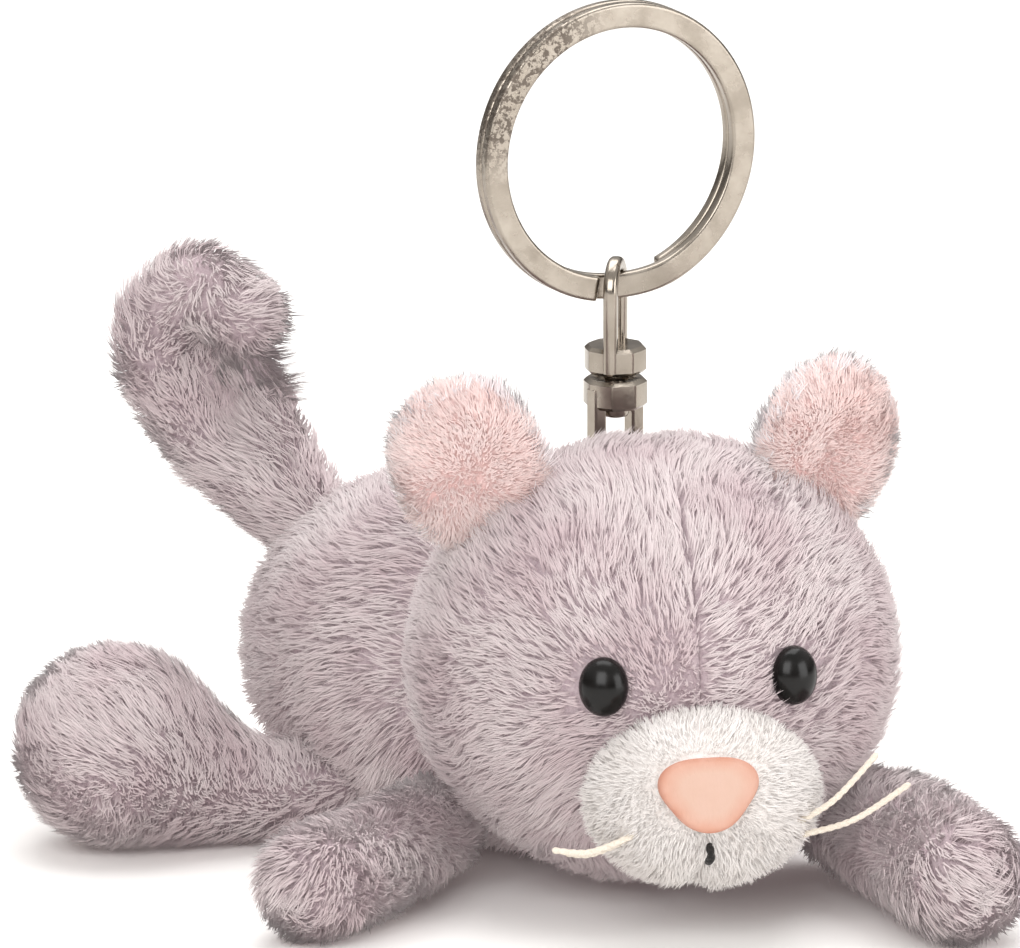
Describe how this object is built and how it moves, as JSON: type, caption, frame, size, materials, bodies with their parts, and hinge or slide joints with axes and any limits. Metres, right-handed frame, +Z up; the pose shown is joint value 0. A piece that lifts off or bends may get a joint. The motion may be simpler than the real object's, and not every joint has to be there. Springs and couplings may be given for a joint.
{
  "type": "plush keychain",
  "caption": "Stuffed plush cat lying on its belly, with a turning metal swivel and a flat split ring standing behind its crown.",
  "frame": {"origin": "middle of the object's footprint, on the surface it lies on", "axes": "+Z up, -Y the way the cat looks, +X the cat's own left side"},
  "size_m": [0.0893, 0.0954, 0.0865],
  "materials": {
    "plush_lilac": "long soft pile",
    "plush_white": "short soft pile",
    "plush_pink": "short soft pile",
    "filling": "loose polyester fibre",
    "nose_felt": "short brushed nap",
    "black_thread": "embroidery thread",
    "cream_thread": "waxed thread",
    "black_plastic": "polished",
    "washer_plastic": "moulded",
    "ribbon": "woven tape",
    "nickel": "nickel plated and lightly worn"
  },
  "bodies": {
    "torso": {"head_cover_left": "plush_lilac", "head_cover_right": "plush_lilac", "head_stuffing": "filling", "muzzle_cover": "plush_white", "muzzle_stuffing": "filling", "nose": "nose_felt", "mouth_stitch": "black_thread", "whisker_left_upper": "cream_thread", "whisker_left_lower": "cream_thread", "whisker_right_upper": "cream_thread", "whisker_right_lower": "cream_thread", "eye_left": "black_plastic", "eye_right": "black_plastic", "eye_washer_left": "washer_plastic", "eye_washer_right": "washer_plastic", "ear_left_back": "plush_lilac", "ear_left_inner": "plush_pink", "ear_right_back": "plush_lilac", "ear_right_inner": "plush_pink", "body_back": "plush_lilac", "body_belly": "plush_lilac", "body_stuffing": "filling", "anchor_ribbon": "ribbon"},
    "arm_left": {"arm_left_cover": "plush_lilac", "arm_left_stuffing": "filling"},
    "arm_right": {"arm_right_cover": "plush_lilac", "arm_right_stuffing": "filling"},
    "foot_left": {"foot_left_cover": "plush_lilac", "foot_left_stuffing": "filling"},
    "foot_right": {"foot_right_cover": "plush_lilac", "foot_right_stuffing": "filling"},
    "tail": {"tail_cover": "plush_lilac", "tail_stuffing": "filling"},
    "yoke": {"swivel_yoke": "nickel"},
    "eye": {"swivel_eye": "nickel", "swivel_rivet": "nickel"},
    "ring": {"split_ring": "nickel"}
  },
  "joints": [
    {"name": "arm_left_swing", "type": "hinge", "parent": "torso", "child": "arm_left", "pos_m": [0.0319, -0.009, 0.006], "axis": [0, 0, 1], "range_deg": [-4, 14], "stiffness_Nm_per_rad": 0.004},
    {"name": "arm_right_swing", "type": "hinge", "parent": "torso", "child": "arm_right", "pos_m": [-0.0076, -0.006, 0.006], "axis": [0, 0, 1], "range_deg": [-12, 8], "stiffness_Nm_per_rad": 0.004},
    {"name": "foot_left_swing", "type": "hinge", "parent": "torso", "child": "foot_left", "pos_m": [0.0189, 0.0275, 0.006], "axis": [0, 0, 1], "range_deg": [-12, 12], "stiffness_Nm_per_rad": 0.004},
    {"name": "foot_right_swing", "type": "hinge", "parent": "torso", "child": "foot_right", "pos_m": [-0.0121, 0.015, 0.006], "axis": [0, 0, 1], "range_deg": [-15, 15], "stiffness_Nm_per_rad": 0.004},
    {"name": "tail_sway", "type": "hinge", "parent": "torso", "child": "tail", "pos_m": [-0.0071, 0.029, 0.0245], "axis": [0, 0, 1], "range_deg": [-20, 20], "stiffness_Nm_per_rad": 0.004},
    {"name": "yoke_tilt", "type": "hinge", "parent": "torso", "child": "yoke", "pos_m": [0.0124, 0.001, 0.041], "axis": [0.8988, 0.4384, 0], "range_deg": [-30, 10]},
    {"name": "swivel_turn", "type": "hinge", "parent": "yoke", "child": "eye", "pos_m": [0.0124, 0.001, 0.0492], "axis": [0, 0, 1], "continuous": true},
    {"name": "ring_swing", "type": "hinge", "parent": "eye", "child": "ring", "pos_m": [0.0124, 0.001, 0.0576], "axis": [0.9063, -0.4226, 0], "range_deg": [-75, 60]}
  ]
}
